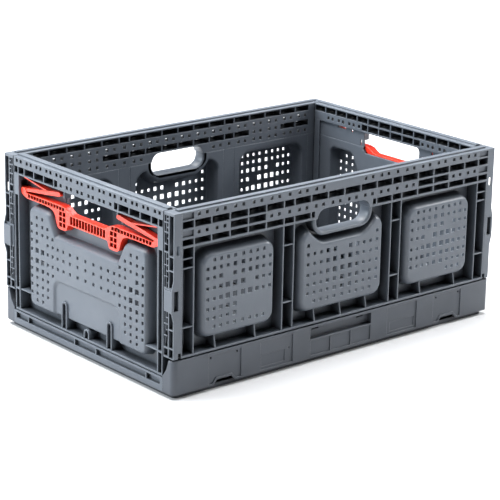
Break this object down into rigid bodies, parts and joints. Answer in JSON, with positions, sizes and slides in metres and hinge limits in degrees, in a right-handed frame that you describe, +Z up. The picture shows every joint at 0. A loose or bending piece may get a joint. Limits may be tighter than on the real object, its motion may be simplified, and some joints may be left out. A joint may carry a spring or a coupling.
{
  "type": "collapsible storage crate",
  "caption": "Folding plastic storage crate with perforated hinged walls, hand holes and sliding end latches on a base tray.",
  "frame": {"origin": "middle of the underside of the stacking foot, on the floor", "axes": "+X along the 600 mm length, +Y along the 400 mm width, +Z up"},
  "size_m": [0.604, 0.4, 0.26],
  "materials": {
    "crate_plastic": "blue-grey moulded polypropylene, satin",
    "latch_plastic": "red moulded plastic, satin to gloss"
  },
  "bodies": {
    "base": {"foot_ring": "crate_plastic", "floor_ribs": "crate_plastic", "base_floor": "crate_plastic", "base_side_front": "crate_plastic", "base_side_back": "crate_plastic", "corner_block_front_left": "crate_plastic", "corner_block_front_right": "crate_plastic", "corner_block_back_left": "crate_plastic", "corner_block_back_right": "crate_plastic", "base_sill_left": "crate_plastic", "base_sill_right": "crate_plastic"},
    "side_wall_front": {"front_wall_rim": "crate_plastic", "front_panel_left": "crate_plastic", "front_panel_centre": "crate_plastic", "front_panel_right": "crate_plastic", "front_wall_channels": "crate_plastic", "front_wall_bottom_rail": "crate_plastic", "corner_post_front_left": "crate_plastic", "corner_post_front_right": "crate_plastic", "front_wall_hinge_lugs": "crate_plastic"},
    "side_wall_back": {"back_wall_rim": "crate_plastic", "back_panel_left": "crate_plastic", "back_panel_centre": "crate_plastic", "back_panel_right": "crate_plastic", "back_wall_channels": "crate_plastic", "back_wall_bottom_rail": "crate_plastic", "corner_post_back_left": "crate_plastic", "corner_post_back_right": "crate_plastic", "back_wall_hinge_lugs": "crate_plastic"},
    "end_wall_left": {"left_wall_rim": "crate_plastic", "left_wall_panel": "crate_plastic", "left_wall_rails": "crate_plastic", "left_wall_bottom_rail": "crate_plastic", "left_latch_guides": "crate_plastic", "left_wall_hinge_lugs": "crate_plastic"},
    "latch_left": {"left_latch_handle": "latch_plastic", "left_latch_springs": "latch_plastic"},
    "end_wall_right": {"right_wall_rim": "crate_plastic", "right_wall_panel": "crate_plastic", "right_wall_rails": "crate_plastic", "right_wall_bottom_rail": "crate_plastic", "right_latch_guides": "crate_plastic", "right_wall_hinge_lugs": "crate_plastic"},
    "latch_right": {"right_latch_handle": "latch_plastic", "right_latch_springs": "latch_plastic"}
  },
  "joints": [
    {"name": "end_wall_left_fold", "type": "hinge", "parent": "base", "child": "end_wall_left", "pos_m": [-0.2875, 0, 0.022], "axis": [0, 1, 0], "range_deg": [0, 90]},
    {"name": "end_wall_right_fold", "type": "hinge", "parent": "base", "child": "end_wall_right", "pos_m": [0.2875, 0, 0.022], "axis": [0, -1, 0], "range_deg": [0, 90]},
    {"name": "side_wall_front_play", "type": "hinge", "parent": "base", "child": "side_wall_front", "pos_m": [0, -0.1875, 0.052], "axis": [-1, 0, 0], "range_deg": [0, 0.4]},
    {"name": "side_wall_back_play", "type": "hinge", "parent": "base", "child": "side_wall_back", "pos_m": [0, 0.1875, 0.052], "axis": [1, 0, 0], "range_deg": [0, 0.4]},
    {"name": "latch_left_lift", "type": "slide", "parent": "end_wall_left", "child": "latch_left", "axis": [0, 0, 1], "range_m": [0, 0.008], "stiffness_N_per_m": 600, "springref_m": -0.004, "deforming": ["left_latch_springs"]},
    {"name": "latch_right_lift", "type": "slide", "parent": "end_wall_right", "child": "latch_right", "axis": [0, 0, 1], "range_m": [0, 0.008], "stiffness_N_per_m": 600, "springref_m": -0.004, "deforming": ["right_latch_springs"]}
  ]
}
